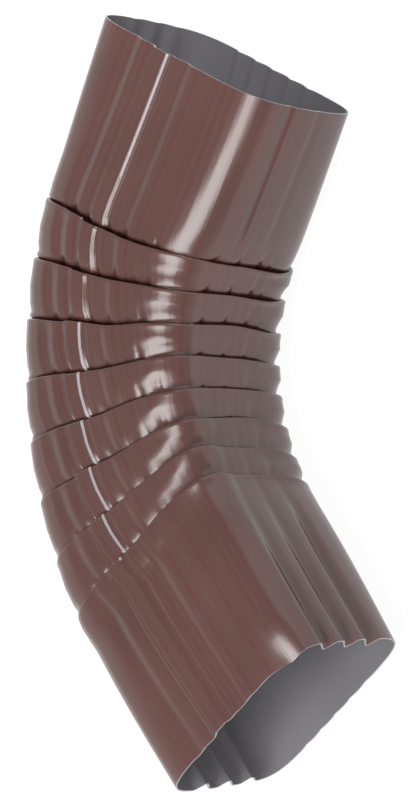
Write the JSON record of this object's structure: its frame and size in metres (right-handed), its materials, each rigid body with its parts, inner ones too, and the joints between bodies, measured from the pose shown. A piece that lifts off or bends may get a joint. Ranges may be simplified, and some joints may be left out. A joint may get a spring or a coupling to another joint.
{
  "type": "downspout elbow",
  "caption": "Pleated sheet-metal elbow that turns a rectangular rainwater downspout, with a plain inlet mouth, a fluted outlet mouth and a lock seam.",
  "frame": {"origin": "on the floor, under the middle of the object's box", "axes": "+Y along the longest extent, towards the plain inlet mouth; +X from the heel to the throat of the bend; +Z square to the plane of the bend, out of the wide face with the lock seam"},
  "size_m": [0.1172, 0.2386, 0.06],
  "materials": {
    "brown_paint": "satin brown baked paint outside, dull grey-violet backing paint inside"
  },
  "bodies": {
    "root": {"elbow": "brown_paint"}
  },
  "joints": []
}
